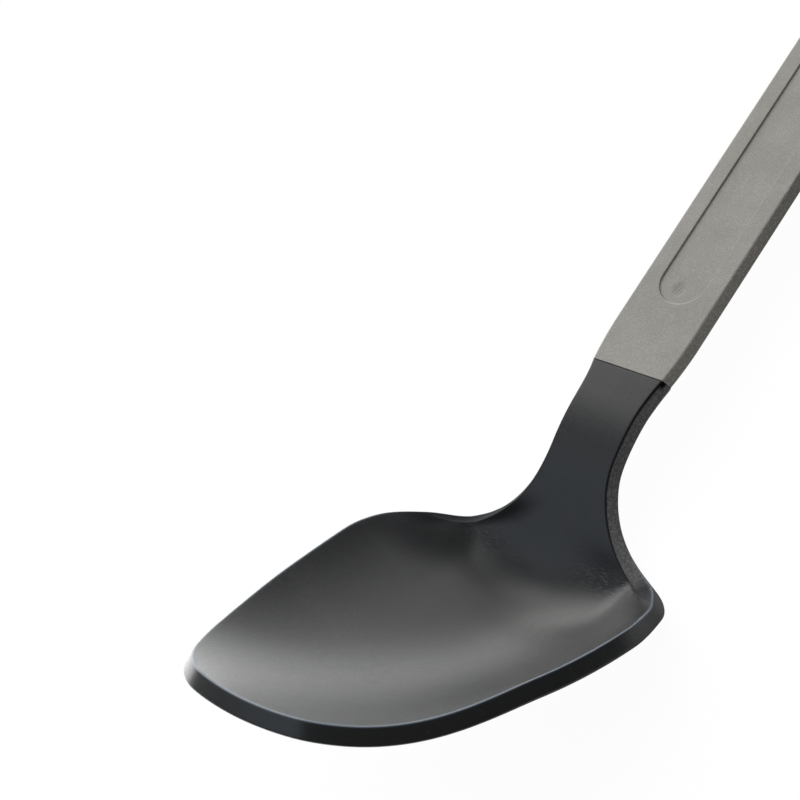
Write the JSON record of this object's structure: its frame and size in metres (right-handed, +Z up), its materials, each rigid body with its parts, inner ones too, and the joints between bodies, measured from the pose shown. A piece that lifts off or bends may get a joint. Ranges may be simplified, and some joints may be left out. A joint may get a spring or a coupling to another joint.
{
  "type": "long-handled spoon",
  "caption": "Moulded serving spoon: deep broad bowl and bent neck in one dark piece, with a long flat grey handle moulded over its tang.",
  "frame": {"origin": "centre of the bounding box, on the surface that the spoon lies on", "axes": "+X from the bowl's tip to the handle's end, +Y across the spoon, +Z up; the spoon lies on its heel and on the handle's end"},
  "size_m": [0.3048, 0.0698, 0.0575],
  "materials": {
    "head_nylon": "dark grey moulded nylon, satin to slightly glossy",
    "handle_nylon": "mid grey moulded nylon, fine matt texture"
  },
  "bodies": {
    "root": {"spoon_head": "head_nylon", "handle": "handle_nylon"}
  },
  "joints": []
}
